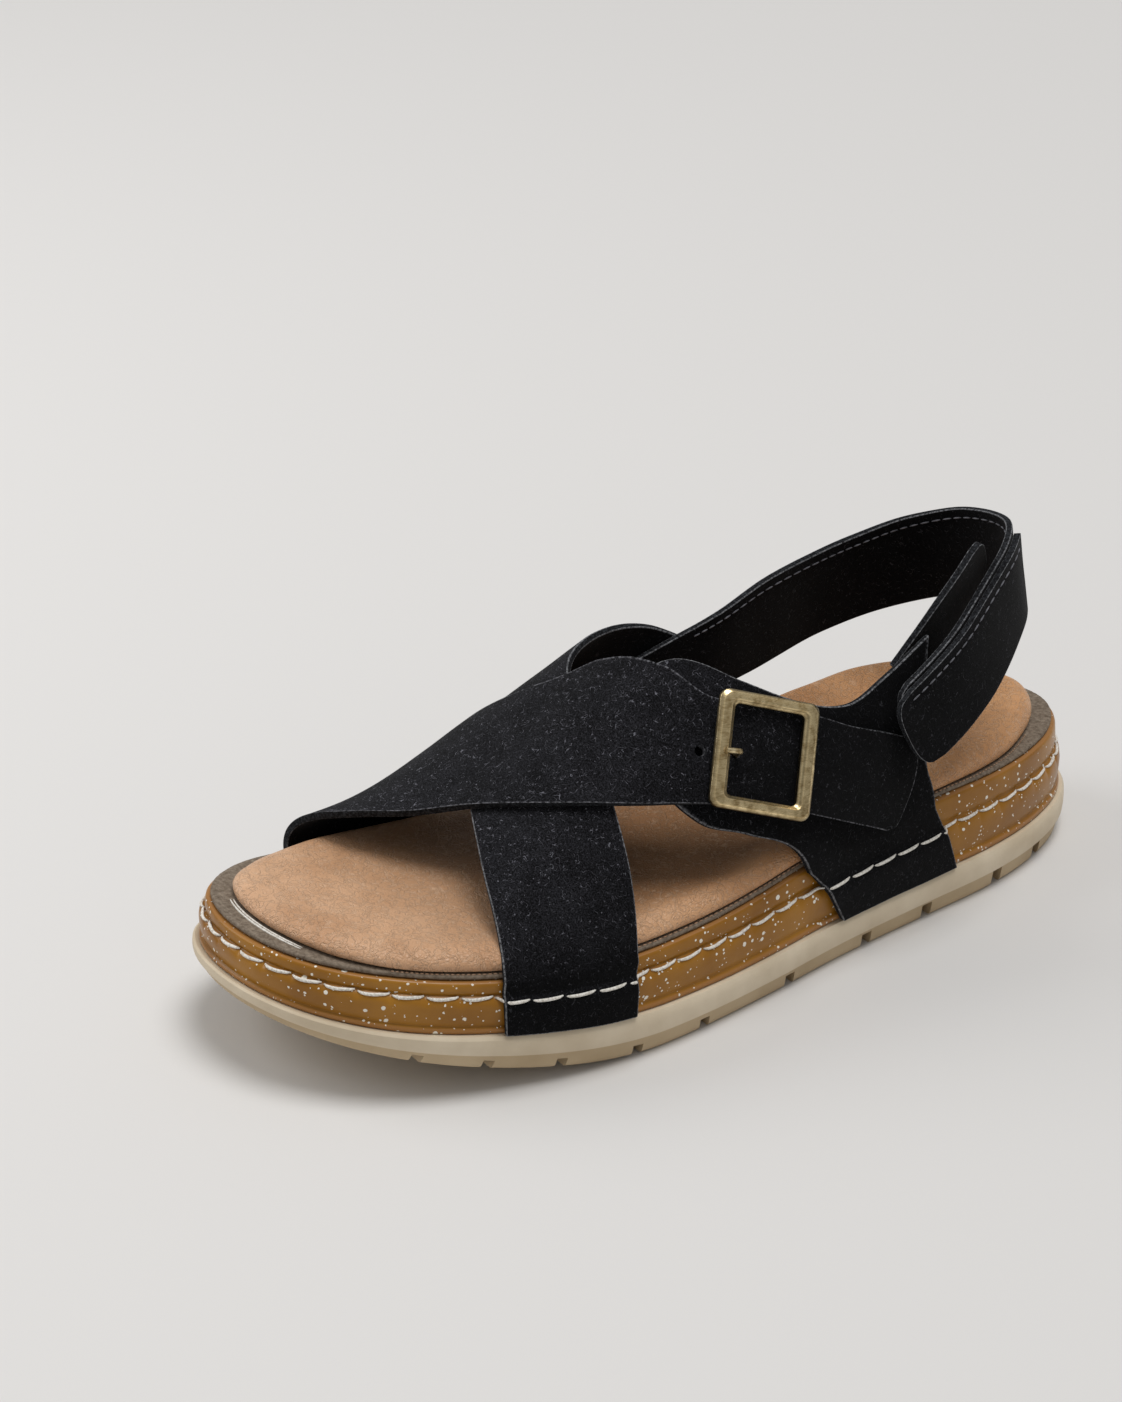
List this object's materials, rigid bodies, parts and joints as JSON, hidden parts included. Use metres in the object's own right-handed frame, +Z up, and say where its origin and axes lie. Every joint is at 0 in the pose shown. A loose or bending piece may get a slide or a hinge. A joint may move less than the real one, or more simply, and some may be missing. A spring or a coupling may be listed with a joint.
{
  "type": "cross strap sandal",
  "caption": "Left sandal with two wide crossed nubuck straps, a buckled outer quarter, a heel strap with a hook-and-loop tab, a padded leather footbed and a speckled platform sole.",
  "frame": {"origin": "centre of the outline at floor level, under the middle of the bounding box", "axes": "+Y from the toe to the heel, +X to the outer side of the left foot, +Z up from the floor"},
  "size_m": [0.0942, 0.2574, 0.0985],
  "materials": {
    "outsole": "matte moulded rubber, beige",
    "midsole": "glossy moulded foam, brown with pale speckles",
    "rim_board": "matte felt-like board, grey brown",
    "footbed": "smooth tan leather",
    "nubuck": "matte black nubuck",
    "brass": "aged brass with a patina"
  },
  "bodies": {
    "root": {"outsole": "outsole", "midsole": "midsole", "rim_board": "rim_board", "footbed": "footbed", "cross_straps": "nubuck", "lateral_quarter": "nubuck", "heel_strap": "nubuck", "heel_tab": "nubuck", "quarter_ear": "nubuck", "buckle_frame": "brass", "buckle_prong": "brass"}
  },
  "joints": []
}
